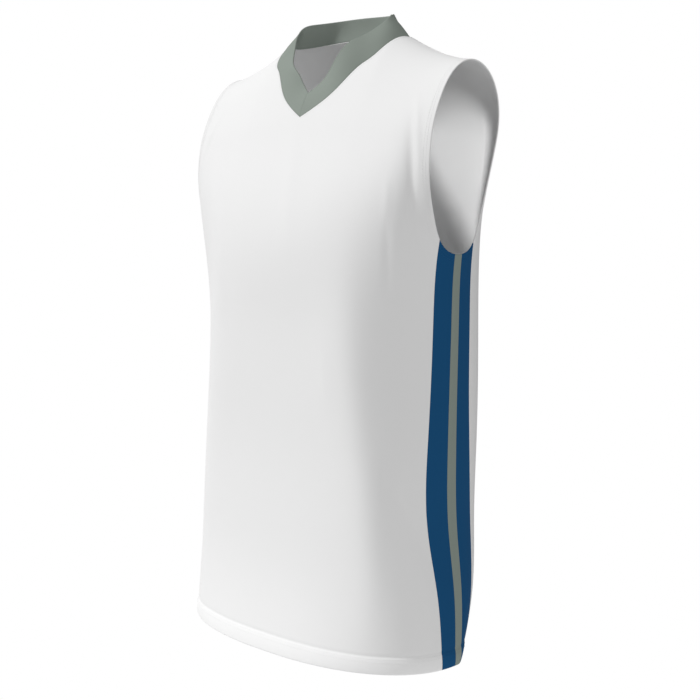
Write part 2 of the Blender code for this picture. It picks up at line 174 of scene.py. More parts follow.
SMALL_STEP = 1e-4          # in turn and in reach, for slopes of the form
NEWTON_STEPS = 12
HALVINGS = 40
FAR = 1.0                  # stands for a distance too long to matter


def smooth_column(table, columns, name, at):
    """Natural cubic spline through one column of a table, against its first column: its bending
    runs straight from knot to knot, and is such that neighbouring spans meet at one slope."""
    rows = np.array(table)
    knots = rows[:, 0]
    values = rows[:, columns.index(name)]
    step = np.diff(knots)
    slope = np.diff(values) / step
    matrix = np.eye(len(knots))
    bending = np.zeros(len(knots))
    for i in range(1, len(knots) - 1):
        matrix[i, i - 1:i + 2] = step[i - 1], 2 * (step[i - 1] + step[i]), step[i]
        bending[i] = 6 * (slope[i] - slope[i - 1])
    bend = np.linalg.solve(matrix, bending)
    i = np.clip(np.searchsorted(knots, at) - 1, 0, len(step) - 1)
    past = at - knots[i]
    left = knots[i + 1] - at
    cubic = (bend[i] * left ** 3 + bend[i + 1] * past ** 3) / (6 * step[i])
    falling = (values[i] / step[i] - bend[i] * step[i] / 6) * left
    rising = (values[i + 1] / step[i] - bend[i + 1] * step[i] / 6) * past
    return cubic + falling + rising


def soft_step(x):
    """0 below 0 and 1 above 1, joined by 3x^2 - 2x^3."""
    x = np.clip(x, 0, 1)
    return x * x * (3 - 2 * x)


def ring(name, drop):
    """One measure of the rings at a drop: the spline through its column."""
    return smooth_column(RINGS, RING_COLUMNS, name, drop)


def rounded_size(across, along, front, drop):
    """How far a rounded ring stands out, in shares of its half width and depth. It is where its
    two parts, each raised to its box, add up to 1, found by Newton's steps."""
    across_box = np.where(front, ring("front_box", drop), BACK_MIDDLE_BOX)
    along_box = np.where(front, ring("front_box", drop), ring("back_box", drop))
    size = np.ones(np.broadcast(across, across_box).shape)
    for _ in range(NEWTON_STEPS):
        across_part = (size * across) ** across_box
        along_part = (size * along) ** along_box
        growth = across_box * across_part + along_box * along_part
        size = size - size * (across_part + along_part - 1) / growth
    return size


def slanted_size(across, along, drop):
    """The same for a ring of flat planes: one in front, one at the side, and between them one
    that leans forward. Their corners are rounded by SLANT_BOX."""
    leaning = SLANT_CUT * (across + ring("lean", drop) * along ** 2 / (along + SIDE_EASE))
    planes = across ** SLANT_BOX + along ** SLANT_BOX + leaning ** SLANT_BOX
    return ((1 + SLANT_CUT ** SLANT_BOX) / planes) ** (1 / SLANT_BOX)


def ring_size(turn, drop):
    """Size of a ring at a turn. On the front, slant blends the rounded ring into the flat one."""
    across = np.abs(np.cos(turn))
    along = np.abs(np.sin(turn))
    front = np.sin(turn) < 0
    slant = np.where(front, ring("slant", drop), 0)
    rounded = rounded_size(across, along, front, drop)
    return rounded * (1 - slant) + slanted_size(across, along, drop) * slant


def roll_and_drop(reach):
    """A length of cloth down from the shoulder line, as an angle of roll and a drop."""
    roll = np.clip(reach / SHOULDER_ROLL, -math.pi / 2, math.pi / 2)
    straight = np.maximum(np.abs(reach) - SHOULDER_ROLL * math.pi / 2, 0)
    return roll, SHOULDER_ROLL * (1 - np.cos(roll)) + straight


def reach_of(drop):
    """The length of cloth down from the shoulder line that ends at this drop."""
    rolled = np.arccos(1 - np.clip(drop / SHOULDER_ROLL, 0, 1)) * SHOULDER_ROLL
    return rolled + np.maximum(drop - SHOULDER_ROLL, 0)


def shoulder_fall(x):
    """Fall of the shoulder line at x: a rising curve over the neck, a falling one to the tip."""
    x = np.abs(x)
    along = np.clip((x - NECK_HALF_WIDTH) / (SHOULDER_TIP - NECK_HALF_WIDTH), 0, None)
    falling = SHOULDER_FALL * (1 - np.sign(1 - along) * np.abs(1 - along) ** SHOULDER_CURVE)
    return falling - NECK_RISE * (1 - np.clip(x / NECK_HALF_WIDTH, 0, 1) ** 2)


def height_at(x, drop):
    """Height of the ring of this drop at x. The shoulders' slope fades out further down."""
    return -(drop + shoulder_fall(x) * np.clip(1 - drop / SLOPE_REACH, 0, 1) ** 2)


def form(turn, reach):
    """Point of the form. turn goes round a ring, from 0 at the left side to -90 degrees at the
    front centre and 90 at the back centre; reach is the cloth's length down from the shoulder."""
    roll, drop = roll_and_drop(reach)
    size = ring_size(turn, drop)
    depth = np.where(np.sin(turn) < 0, ring("front_depth", drop), ring("back_depth", drop))
    x = ring("half_width", drop) * np.cos(turn) * size
    y = ring("side_line", drop) + depth * np.sin(turn) * size * np.sin(roll)
    return np.stack([x, y, height_at(x, drop)], axis=-1)


def small_moves(turn, reach):
    """How far the form moves over twice a small step, round its ring and down the cloth."""
    round_ring = form(turn + SMALL_STEP, reach) - form(turn - SMALL_STEP, reach)
    down = form(turn, reach + SMALL_STEP) - form(turn, reach - SMALL_STEP)
    return round_ring, down


def outward(turn, reach):
    """Unit normal of the form: square to its small moves in both directions."""
    round_ring, down = small_moves(turn, reach)
    normal = np.cross(down, round_ring)
    return normal / np.linalg.norm(normal, axis=-1, keepdims=True)


# Cloth from the front centre round to each turn, sampled once for the whole left half.
TURNS = np.linspace(-math.pi / 2, math.pi / 2, 721)
REACHES = np.linspace(0, reach_of(LENGTH), 241)


def sample_cloth():
    """Length round each sampled ring, added up between neighbouring turns."""
    points = form(TURNS[None, :], REACHES[:, None])
    steps = np.linalg.norm(np.diff(points, axis=1), axis=-1)
    return np.concatenate([np.zeros((len(REACHES), 1)), np.cumsum(steps, axis=1)], axis=1)


CLOTH_ROUND = sample_cloth()


def cloth_across(turn, reach):
    """Cloth from the front centre to a point: the samples, blended between their neighbours. The
    clip stops just short of the last sample, which is a neighbour only."""
    turn, reach = np.broadcast_arrays(turn, reach)
    column = np.clip((turn - TURNS[0]) / (TURNS[1] - TURNS[0]), 0, len(TURNS) - 1.001)
    row = np.clip(reach / REACHES[1], 0, len(REACHES) - 1.001)
    c = column.astype(int)
    r = row.astype(int)
    right = column - c
    low = row - r
    above = CLOTH_ROUND[r, c] * (1 - right) + CLOTH_ROUND[r, c + 1] * right
    below = CLOTH_ROUND[r + 1, c] * (1 - right) + CLOTH_ROUND[r + 1, c + 1] * right
    return above * (1 - low) + below * low


def turn_past_side(cloth, reach, half):
    """The turn that lies a length of cloth round from the side line, on the front or back half."""
    turns = np.empty(len(reach))
    for i in range(len(reach)):
        lengths = cloth_across(TURNS, np.full(len(TURNS), reach[i]))
        side = np.interp(0, TURNS, lengths)
        turns[i] = np.interp(side + half * cloth[i], lengths, TURNS)
    return turns


def halve(low, high, short_of_it):
    """Halve the spans between two arrays until each closes on where short_of_it turns false."""
    for _ in range(HALVINGS):
        middle = (low + high) / 2
        short = short_of_it(middle)
        low = np.where(short, middle, low)
        high = np.where(short, high, middle)
    return (low + high) / 2


def turn_at_x(x, reach, half):
    """The turn at which the ring stands at each wanted x, on the front or back half."""
    turn = halve(np.zeros(len(reach)), np.full(len(reach), math.pi / 2),
                 lambda middle: form(half * middle, reach)[:, 0] > x)
    return half * np.where(x == 0, math.pi / 2, turn)


def reach_where(x, height):
    """The reach at which the form stands at each wanted height at its x."""
    return halve(np.zeros(len(height)), np.full(len(height), reach_of(LENGTH / 2)),
                 lambda middle: height_at(x, roll_and_drop(middle)[1]) > height)


def neck_line(share, half):
    """Turn and reach of the neck seam. share runs from 0 at the centre to 1 at the shoulder."""
    x = NECK_HALF_WIDTH * share
    if half == FRONT:
        height = smooth_column(FRONT_NECK, NECK_COLUMNS, "height", share)
    else:
        height = BACK_NECK_RISE * (1 - share ** 2)
    reach = reach_where(x, height)
    return turn_at_x(x, reach, half), reach


def armhole_line(level, half):
    """Turn and reach of the armhole's edge. level runs from 0 at its top to 1 at the underarm. Its
    x goes from the shoulder's tip to the side as a power of level, less half a sine for the cut
    inwards, and less a height times its own dying exponential, which rounds the underarm."""
    underarm = ring("half_width", ARMHOLE_BOTTOM)
    x = underarm + (SHOULDER_TIP - underarm) * (1 - level) ** SHOULDER_TIP_CURVE
    x = x - ARMHOLE_CUT_IN[half] * np.sin(math.pi * level)
    above = (ARMHOLE_BOTTOM - SHOULDER_FALL) * (1 - level)
    x = x - UNDERARM_TURN * above * np.exp(-above / UNDERARM_ROUND)
    reach = reach_where(x, above - ARMHOLE_BOTTOM)
    return turn_at_x(x, reach, half), reach


def side_cloth(share, drop):
    """Cloth from the side line to a lengthwise line of the side panel: share 0 is the edge of
    the stripe and 1 the seam with the front or back panel."""
    stripe = smooth_column(SIDE_PANEL, SIDE_COLUMNS, "half_stripe", drop)
    panel = smooth_column(SIDE_PANEL, SIDE_COLUMNS, "half_panel", drop)
    return stripe + (panel - stripe) * share


def line_top(share, half):
    """Level on the armhole at which a lengthwise line of the side panel reaches its edge: there
    the line and the edge stand at the same turn."""
    level = np.linspace(SIDE_PANEL_LEVEL, 1, 121)
    turn, reach = armhole_line(level, half)
    line = turn_past_side(side_cloth(share, roll_and_drop(reach)[1]), reach, half)
    return float(np.interp(0, np.abs(line) - np.abs(turn), level))


def fold_rise(across, down, folds):
    """Sum of the folds: along a fold its rise follows half a sine wave, and across it a bell."""
    total = np.zeros(np.broadcast(across, down).shape)
    for from_across, from_down, to_across, to_down, bow, half_width, rise in folds:
        run = np.array([to_across - from_across, to_down - from_down])
        length = np.linalg.norm(run)
        run = run / length
        along = ((across - from_across) * run[0] + (down - from_down) * run[1]) / length
        off = (across - from_across) * run[1] - (down - from_down) * run[0]
        swell = np.sin(math.pi * np.clip(along, 0, 1))
        total += rise * swell ** FOLD_FADE * np.exp(-((off - bow * swell) / half_width) ** 2)
    return total


def hem_rise(above_hem):
    """The turned hem swells as a root of half a sine, and the cloth dips into its stitches."""
    share = np.clip(above_hem / HEM_HEIGHT, 0, 1)
    dip = STITCH_DIP * np.exp(-((above_hem - HEM_HEIGHT) / STITCH_DIP_HEIGHT) ** 2)
    return HEM_PUFF * np.sin(math.pi * share) ** HEM_PUFF_CURVE - dip


def distance_to(points, line):
    """Shortest distance from each point of a grid to a line of points, row by row. The tiny
    square keeps two points in the same place from dividing by nothing."""
    start = line[:-1]
    run = np.diff(line, axis=0)
    square = (run ** 2).sum(-1) + 1e-18
    nearest = np.empty(points.shape[:2])
    for i, row in enumerate(points):
        away = row[:, None, :] - start
        along = np.clip((away * run).sum(-1) / square, 0, 1)
        gap = np.linalg.norm(away - along[..., None] * run, axis=-1)
        nearest[i] = gap.min(axis=1)
    return nearest


def laid(turn, reach, arm_gap, half, side, folds):
    """The cloth over the form, on the left half: its points and normals, how high its middle lies
    over them, its thickness, how far it is a turned hem, and the cloth across. Turned hems are
    thicker, and folds and the hem's swell add up. arm_gap is the distance to the armhole. What
    lies on the centre line is put exactly there, so that two halves meet."""
    points = form(turn, reach)
    normal = outward(turn, reach)
    centred = np.abs(np.cos(turn)) < 1e-9
    points[centred, 0] = 0
    normal[centred, 0] = 0
    above_hem = reach_of(LENGTH) - reach
    hem = soft_step((HEM_HEIGHT + TURNED_STEP / 2 - above_hem) / TURNED_STEP)
    arm = soft_step((ARM_HEM_WIDTH + TURNED_STEP / 2 - arm_gap) / TURNED_STEP)
    thick = CLOTH + (HEM_CLOTH - CLOTH) * hem + (ARM_HEM_CLOTH - CLOTH) * arm * (1 - hem)
    across = cloth_across(turn, reach)
    if half == BACK:
        across = cloth_across(math.pi / 2, reach) - across
    rise = fold_rise(across * side, reach, folds) + hem_rise(above_hem)
    middle = rise - CLOTH / 2 - (thick - CLOTH) * TURNED_INWARDS
    return points, normal, middle, thick, hem, across * side


def cloth_shell(turn, reach, closed, borders, armhole, half, side, folds=()):
    """Outer and inner points of one half of a piece. Both lie half a thickness from the middle of
    the cloth and close in a quarter circle at the borders, where they share their points."""
    base = form(turn, reach)
    arm_gap = distance_to(base, armhole)
    points, normal, middle, thick, hem, across = laid(turn, reach, arm_gap, half, side, folds)
    edge = np.where(hem > 0, reach_of(LENGTH) - reach, FAR)
    for border in borders:
        edge = np.minimum(edge, distance_to(base, border))
    into = 1 - np.clip(edge / (thick / 2), 0, 1)
    close = np.where(closed, 0, thick / 2 * np.sqrt(np.clip(1 - into ** 2, 0, 1)))
    scale = np.array([side, 1, 1])
    return {
        "outer": (points + normal * (middle + close)[..., None]) * scale,
        "inner": (points + normal * (middle - close)[..., None]) * scale,
        "closed": closed,
        "cloth": np.stack([across, -np.broadcast_to(reach, across.shape)], axis=-1),
        "doubled": hem,
    }


def grid_quads(index):
    """The four corners of each cell of a grid of point numbers."""
    corners = [index[:-1, :-1], index[:-1, 1:], index[1:, 1:], index[1:, :-1]]
    return np.stack(corners, axis=-1).reshape(-1, 4)


def make_mesh(name, points, faces, cloth=None, doubled=None):
    """A mesh object from arrays. Points that no face uses are dropped. cloth becomes the UV map,
    in metres of cloth, and doubled the share of a second layer behind the surface."""
    used, faces = np.unique(faces, return_inverse=True)
    faces = faces.reshape(-1, 4)
    points = points[used]
    mesh = bpy.data.meshes.new(name)
    mesh.vertices.add(len(points))
    mesh.vertices.foreach_set("co", points.astype(np.float32).ravel())
    mesh.loops.add(faces.size)
    mesh.loops.foreach_set("vertex_index", faces.astype(np.int32).ravel())
    mesh.polygons.add(len(faces))
    mesh.polygons.foreach_set("loop_start", np.arange(0, faces.size, 4, dtype=np.int32))
    mesh.polygons.foreach_set("use_smooth", np.ones(len(faces), dtype=bool))
    if cloth is not None:
        layer = mesh.uv_layers.new(name="cloth")
        layer.data.foreach_set("uv", cloth[used][faces.ravel()].astype(np.float32).ravel())
    if doubled is not None:
        attribute = mesh.attributes.new("doubled", "FLOAT", "POINT")
        attribute.data.foreach_set("value", doubled[used].astype(np.float32))
    mesh.update(calc_edges=True)
    mesh.validate()
    piece = bpy.data.objects.new(name, mesh)
    bpy.context.scene.collection.objects.link(piece)
    return piece


def sew(name, shells, joined_rows=0):
    """One mesh from the shells of a piece. Each comes with the hand of its grid: the faces of a
    RIGHT one are turned round, to point outwards. With two halves, their first columns are
    shared over the rows up to joined_rows."""
    points, cloth, doubled, faces = [], [], [], []
    first = None
    offset = 0
    for shell, hand in shells:
        rows, columns = shell["closed"].shape
        count = rows * columns
        outer = np.arange(count).reshape(rows, columns) + offset
        inner = np.where(shell["closed"], outer, outer + count)
        if first is None:
            first = outer, inner
        else:
            shared = slice(0, joined_rows)
            outer[shared, 0] = first[0][shared, 0]
            inner[shared, 0] = first[1][shared, 0]
        turned = hand == RIGHT
        faces.append(grid_quads(outer)[:, ::-1 if turned else 1])
        faces.append(grid_quads(inner)[:, ::1 if turned else -1])
        points += [shell["outer"].reshape(-1, 3), shell["inner"].reshape(-1, 3)]
        cloth += [shell["cloth"].reshape(-1, 2)] * 2
        doubled += [shell["doubled"].ravel()] * 2
        offset += 2 * count
    return make_mesh(name, np.concatenate(points), np.concatenate(faces),
                     np.concatenate(cloth), np.concatenate(doubled))


def hem_rows(top):
    """Reach of the rows from the hem up to a top: a round edge, a finer hem, then even steps."""
    hem = reach_of(LENGTH)
    fine = np.arange(EDGE_STEPS[-1] + HEM_MESH_STEP, HEM_HEIGHT + HEM_MESH_PAST, HEM_MESH_STEP)
    count = int(round((hem - fine[-1] - top) / MESH_STEP))
    even = np.linspace(hem - fine[-1], top, count + 1)[1:]
    return np.concatenate([hem - EDGE_STEPS, hem - fine, even])


def edge_spaced(length, count):
    """Shares from 0 to 1 along a length, evenly spaced but close together at both ends."""
    close = EDGE_STEPS / length
    even = np.linspace(close[-1], 1 - close[-1], count + 1)[1:-1]
    return np.concatenate([close, even, 1 - close[::-1]])


def end_spaced(length, count):
    """Shares above 0 and up to 1 along a length, evenly spaced but close together at its end."""
    even = np.linspace(0, 1, count + 1)[1:-1]
    return np.concatenate([even, 1 - EDGE_STEPS[::-1] / length])


def panel_grid(half):
    """Turn and reach of one half of a body panel. Rows run from the centre line, or the neck seam
    further up, to the side seam, or the armhole further up. Turn and reach are blended straight
    from one end of a row to the other, and squares crowd the rows towards the shoulder."""
    seam_top = line_top(1, half)
    underarm_reach = float(armhole_line(np.array([seam_top]), half)[1][0])
    side_reach = hem_rows(underarm_reach)
    side_turn = turn_past_side(side_cloth(1, roll_and_drop(side_reach)[1]), side_reach, half)

    neck_rows = NECK_ROWS[half]
    neck_point = float(neck_line(np.array([0.0]), half)[1][0])
    chest_rows = UPPER_ROWS - neck_rows
    chest = np.linspace(underarm_reach, neck_point + EDGE_STEPS[-1], chest_rows + 1)[1:]
    chest = np.concatenate([chest, neck_point + EDGE_STEPS[-2::-1]])
    centre_rows = len(side_reach) + len(chest)
    up_neck = end_spaced(NECK_EDGE, neck_rows)
    neck_turn, neck_reach = neck_line(1 - (1 - up_neck) ** 2, half)
    inner_turn = np.concatenate([np.full(centre_rows, half * math.pi / 2), neck_turn])
    inner_reach = np.concatenate([side_reach, chest, neck_reach])

    arm_rows = len(chest) + len(neck_reach)
    up_arm = end_spaced(ARM_EDGE, arm_rows - len(EDGE_STEPS) + 1)
    arm_turn, arm_reach = armhole_line(seam_top * (1 - up_arm) ** 2, half)
    outer_turn = np.concatenate([side_turn, arm_turn])
    outer_reach = np.concatenate([side_reach, arm_reach])

    share = edge_spaced(PANEL_HALF, PANEL_COLUMNS)
    turn = inner_turn[:, None] * (1 - share) + outer_turn[:, None] * share
    reach = inner_reach[:, None] * (1 - share) + outer_reach[:, None] * share
    reach = np.maximum(reach, 0)
    borders = {
        "side": form(side_turn, side_reach),
        "armhole": form(arm_turn, arm_reach),
        "neck": form(*neck_line(np.linspace(0, 1, 120) ** 0.6, half)),
        "shoulder": form(turn[-1], reach[-1]),
    }
    closed = np.zeros(turn.shape, bool)
    closed[[0, -1]] = True
    closed[:, -1] = True
    closed[centre_rows - 1:, 0] = True
    return turn, reach, borders, closed, centre_rows


def body_panel(name, half, folds):
    """A front or back panel: a shell of its left half and the mirrored one of its right half,
    joined down the centre line from the neck seam to the hem."""
    turn, reach, borders, closed, centre_rows = panel_grid(half)
    shells = []
    for side in (LEFT, RIGHT):
        shell = cloth_shell(
            turn, reach, closed, list(borders.values()), borders["armhole"], half, side, folds)
        shells.append((shell, side * -half))
    return sew(name, shells, centre_rows)


def beside(turn, reach, gap):
    """A line moved sideways over the form. The move is square to the line and to the normal, and
    least squares over the form's two directions give its turn and reach."""
    by_turn, by_reach = [moved / (2 * SMALL_STEP) for moved in small_moves(turn, reach)]
    move = np.cross(outward(turn, reach), np.gradient(form(turn, reach), axis=0))
    move = gap * move / np.linalg.norm(move, axis=-1, keepdims=True)
    a = (by_turn * by_turn).sum(-1)
    b = (by_turn * by_reach).sum(-1)
    c = (by_reach * by_reach).sum(-1)
    d = (by_turn * move).sum(-1)
    e = (by_reach * move).sum(-1)
    return turn + (d * c - e * b) / (a * c - b * b), reach + (e * a - d * b) / (a * c - b * b)


def arm_row(gap, half, nearest, furthest):
    """Row of stitches a gap inside the armhole's edge on one half, kept where it lies on a piece:
    further from the side line than share nearest of the side panel, and nearer than furthest."""
    turn, reach = armhole_line(1 - np.linspace(1, 0, 600) ** 2, half)
    turn, reach = beside(turn, reach, half * gap)
    drop = roll_and_drop(reach)[1]
    cloth = np.abs(cloth_across(turn, reach) - cloth_across(0, reach))
    on_piece = (half * turn > 0) & (reach > 0)
    if nearest is not None:
        on_piece &= cloth > side_cloth(nearest, drop) + STITCH_LENGTH / 4
    if furthest is not None:
        on_piece &= cloth < side_cloth(furthest, drop) - STITCH_LENGTH / 4
    return turn[on_piece], reach[on_piece], gap


def panel_rows(half, shoulder):
    """Turn, reach and armhole distance of the rows of stitches on one half of a body panel: along
    the hem, below the armhole's edge and the neck seam, and behind the shoulder seam."""
    hem = reach_of(LENGTH)
    spread = np.linspace(0, 1, 200)
    rows = []
    for height in HEM_STITCHES:
        reach = np.full(len(spread), hem - height)
        seam = turn_past_side(side_cloth(1, roll_and_drop(reach[:1])[1]), reach[:1], half)
        rows.append((half * math.pi / 2 * (1 - spread) + seam * spread, reach, FAR))
    for gap in ARM_STITCHES:
        rows.append(arm_row(gap, half, 1, None))
    rows.append((*beside(*neck_line(1 - (1 - spread) ** 1.5, half), half * NECK_STITCHES), FAR))
    if shoulder:
        start = neck_line(np.array([1.0]), half)[0]
        end = armhole_line(np.array([0.0]), half)[0]
        line = start * (1 - spread) + end * spread
        rows.append((line, np.full(len(spread), NECK_STITCHES), FAR))
    return rows


def thread_lines(rows, half, folds, sides=(LEFT, RIGHT)):
    """Points and normals of rows of stitches on the cloth's face, on each of the sides."""
    lines = []
    for side in sides:
        for turn, reach, arm_gap in rows:
            points, normal, middle, thick, _, _ = laid(turn, reach, arm_gap, half, side, folds)
            scale = np.array([side, 1, 1])
            face = points + normal * (middle + thick / 2)[:, None]
            lines.append((face * scale, normal * scale))
    return lines


def at_lengths(places, length, values):
    """Values known at each point of a line, blended straight to other lengths along it."""
    return np.stack([np.interp(places, length, column) for column in values.T], axis=1)


def stitches(name, lines, material):
    """Each stitch is a six-sided bar of thread along its row: its radius shrinks towards its ends,
    as the root of 1 - t^4, and its middle line dips into the cloth there, as t^2."""
    t = np.linspace(-BAR_TIP, BAR_TIP, BAR_RINGS)[:, None]
    around = np.linspace(0, 2 * math.pi, BAR_SIDES + 1)[None, :-1]
    radius = THREAD / 2 * np.sqrt(1 - t ** 4)
    along = t * STITCH_LENGTH / 2 + 0 * around
    up = THREAD * (BAR_LIFT - BAR_DIVE * t ** 2) + radius * np.cos(around)
    out = radius * np.sin(around)
    index = np.arange(BAR_RINGS * BAR_SIDES).reshape(BAR_RINGS, BAR_SIDES)
    walls = grid_quads(np.concatenate([index, index[:, :1]], axis=1))
    start, end = index[0], index[-1]
    caps = [start[[0, 5, 4, 3]], start[[0, 3, 2, 1]], end[[0, 1, 2, 3]], end[[0, 3, 4, 5]]]
    bar = np.concatenate([walls, caps])
    twist = np.stack(np.broadcast_arrays(along, around / (2 * math.pi)), axis=-1).reshape(-1, 2)
    points, faces, cloth = [], [], []
    count = 0
    for line, normals in lines:
        steps = np.linalg.norm(np.diff(line, axis=0), axis=1)
        length = np.concatenate([[0], np.cumsum(steps)])
        places = np.arange(STITCH_PITCH / 2, length[-1] - STITCH_PITCH / 2, STITCH_PITCH)
        middle = at_lengths(places, length, line)
        run = at_lengths(places, length, np.gradient(line, axis=0))
        run /= np.linalg.norm(run, axis=1, keepdims=True)
        across = np.cross(run, at_lengths(places, length, normals))
        rise = np.cross(across, run)
        stitch = middle[:, None, None] + run[:, None, None] * along[None, :, :, None]
        stitch = stitch + rise[:, None, None] * up[None, :, :, None]
        stitch = stitch + across[:, None, None] * out[None, :, :, None]
        points.append(stitch.reshape(-1, 3))
        first_points = index.size * np.arange(len(places)) + count
        faces.append((bar[None] + first_points[:, None, None]).reshape(-1, 4))
        cloth.append(np.tile(twist, (len(places), 1)))
        count += index.size * len(places)
    piece = make_mesh(name, np.concatenate(points), np.concatenate(faces), np.concatenate(cloth))
    piece.data.materials.append(material)
    return piece


def srgb(code):
    """A hex colour as linear red, green, blue and full alpha: each channel by the sRGB curve."""
    channels = np.array([int(code[i:i + 2], 16) for i in (1, 3, 5)]) / 255
    linear = np.where(channels <= 0.04045, channels / 12.92, ((channels + 0.055) / 1.055) ** 2.4)
    return (*linear.tolist(), 1.0)


def add(tree, kind, settings=None, links=None):
    """Adds a node. settings are its properties or socket values, links the outputs to plug in."""
    node = tree.nodes.new(kind)
    for key, value in (settings or {}).items():
        if isinstance(key, str) and hasattr(node, key):
            setattr(node, key, value)
        else:
            node.inputs[key].default_value = value
    for key, output in (links or {}).items():
        tree.links.new(output, node.inputs[key])
    return node


def cloth_material(name, unit_wide, unit_high):
    """A new material, its nodes, its shader, and a node with the place on the cloth in units."""
    material = bpy.data.materials.new(name)
    material.use_nodes = True
    tree = material.node_tree
    cloth = add(tree, "ShaderNodeUVMap", {"uv_map": "cloth"})
    scaled = add(tree, "ShaderNodeMapping", {"Scale": (1 / unit_wide, 1 / unit_high, 1)},
                 {"Vector": cloth.outputs[0]})
    place = add(tree, "ShaderNodeSeparateXYZ", None, {0: scaled.outputs[0]})
    return material, tree, tree.nodes["Principled BSDF"], place


def knit(name, single, doubled, wale, course, depth, sheen):
    """Weft-knitted polyester. Its face is columns of loops, one wale wide and one course high:
    the height is a rounded column, with a shallow dip between each loop and the next. Both are
    square roots of a zigzag, the loops' 0.6 times as high and slanting with the column. The yarn
    is matt, with little gloss. Where the cloth is doubled, it has a colour of its own."""
    material, tree, shader, place = cloth_material(name, wale, course)
    zigzag = {"operation": "PINGPONG", 1: 0.5}
    root = {"operation": "POWER", 1: 0.5}
    column = add(tree, "ShaderNodeMath", zigzag, {0: place.outputs[0]})
    slanted = add(tree, "ShaderNodeMath", {"operation": "ADD"},
                  {0: place.outputs[1], 1: column.outputs[0]})
    loop = add(tree, "ShaderNodeMath", zigzag, {0: slanted.outputs[0]})
    column_rise = add(tree, "ShaderNodeMath", root, {0: column.outputs[0]})
    loop_rise = add(tree, "ShaderNodeMath", root, {0: loop.outputs[0]})
    height = add(tree, "ShaderNodeMath", {"operation": "MULTIPLY_ADD", 1: 0.6},
                 {0: loop_rise.outputs[0], 2: column_rise.outputs[0]})
    bump = add(tree, "ShaderNodeBump", {"Strength": 0.5, "Distance": depth},
               {"Height": height.outputs[0]})
    tree.links.new(bump.outputs[0], shader.inputs["Normal"])
    layers = add(tree, "ShaderNodeAttribute", {"attribute_name": "doubled"})
    # Sockets 6 and 7 of a Mix node are its two colours, and output 2 is the mixed one.
    shade = add(tree, "ShaderNodeMix", {"data_type": "RGBA"}, {"Factor": layers.outputs["Fac"]})
    shade.inputs[6].default_value = srgb(single)
    shade.inputs[7].default_value = srgb(doubled)
    tree.links.new(shade.outputs[2], shader.inputs["Base Color"])
    shader.inputs["Roughness"].default_value = 0.8
    shader.inputs["Sheen Weight"].default_value = sheen
    shader.inputs["Sheen Roughness"].default_value = 0.5
    shader.inputs["Specular IOR Level"].default_value = 0.12
    return material


PLY_PITCH = 0.0005         # along the thread, from one ridge to the next
PLY_DEPTH = 0.00006


def spun_thread(name, colour):
    """Two-ply spun polyester: matt, with a slanted ridge, a zigzag, where the plies twist."""
    material, tree, shader, place = cloth_material(name, PLY_PITCH, 1)
    slanted = add(tree, "ShaderNodeMath", {"operation": "ADD"},
                  {0: place.outputs[0], 1: place.outputs[1]})
    ply = add(tree, "ShaderNodeMath", {"operation": "PINGPONG", 1: 0.5}, {0: slanted.outputs[0]})
    bump = add(tree, "ShaderNodeBump", {"Strength": 0.6, "Distance": PLY_DEPTH},
               {"Height": ply.outputs[0]})
    tree.links.new(bump.outputs[0], shader.inputs["Normal"])
    shader.inputs["Base Color"].default_value = srgb(colour)
    shader.inputs["Roughness"].default_value = 0.7
    shader.inputs["Specular IOR Level"].default_value = 0.2
    return material


# Polyester interlock, dyed white: matt, with a faint soft sheen. A second layer behind it, as in
# a turned hem, lets less light through and so looks whiter. Its wales are 1.1 mm wide and its
# courses 0.9 mm high, somewhat coarser than most jerseys, so that they show from close by.
INTERLOCK = {"wale": 0.0011, "course": 0.0009, "depth": 0.00012}
white_interlock = knit("white polyester interlock", "#E2E2E2", "#E9E9E9", sheen=0.03, **INTERLOCK)
white_thread = spun_thread("white spun polyester thread", "#E4E4E4")

front = body_panel("front_panel_cloth", FRONT, FRONT_FOLDS)
front.data.materials.append(white_interlock)
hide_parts("front_panel")
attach(front, "root")
front_lines = thread_lines(panel_rows(FRONT, shoulder=False), FRONT, FRONT_FOLDS)
front_stitches = stitches("front_panel_stitches", front_lines, white_thread)
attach(front_stitches, "root")


# ================================================================ back panel
# The same white interlock in one piece, with a shallow round neck. A row of stitches along each
# shoulder holds the seam allowance down.
BACK_FOLDS = (
    (0.146, 0.125, 0.170, 0.262, 0.003, 0.0050, 0.0012),
    (0.158, 0.150, 0.172, 0.250, 0.002, 0.0045, -0.0007),
    (-0.150, 0.120, -0.176, 0.290, -0.003, 0.0060, 0.0014),
    (0.060, 0.290, 0.086, 0.560, 0.006, 0.0120, 0.0028),
    (-0.078, 0.330, -0.058, 0.620, 0.005, 0.0130, 0.0026),
    (0.118, 0.420, 0.142, 0.640, 0.003, 0.0110, -0.0024),
    (-0.132, 0.380, -0.128, 0.560, -0.004, 0.0100, -0.0020),
    (0.004, 0.300, -0.010, 0.480, 0.003, 0.0150, -0.0028),
    (-0.030, 0.560, -0.022, 0.740, 0.002, 0.0120, 0.0018),
)

back = body_panel("back_panel_cloth", BACK, BACK_FOLDS)
back.data.materials.append(white_interlock)
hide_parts("back_panel")
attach(back, "root")
back_lines = thread_lines(panel_rows(BACK, shoulder=True), BACK, BACK_FOLDS)
back_stitches = stitches("back_panel_stitches", back_lines, white_thread)
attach(back_stitches, "root")


# ================================================================ side panels
# On each side a grey stripe of polyester interlock between two blue strips, from the underarm to
# the hem. They are sewn edge to edge, and their ends are turned in and stitched like the panels'.
STRIP_FOOT = 0.350         # reach below which the rows of a strip are level
STRIP_UPPER_ROWS = 23      # even rows further up
STRIP_COLUMNS = 10
STRIP_WIDTH, STRIP_RISE = 0.024, 0.06    # rough lengths, only for the edge steps


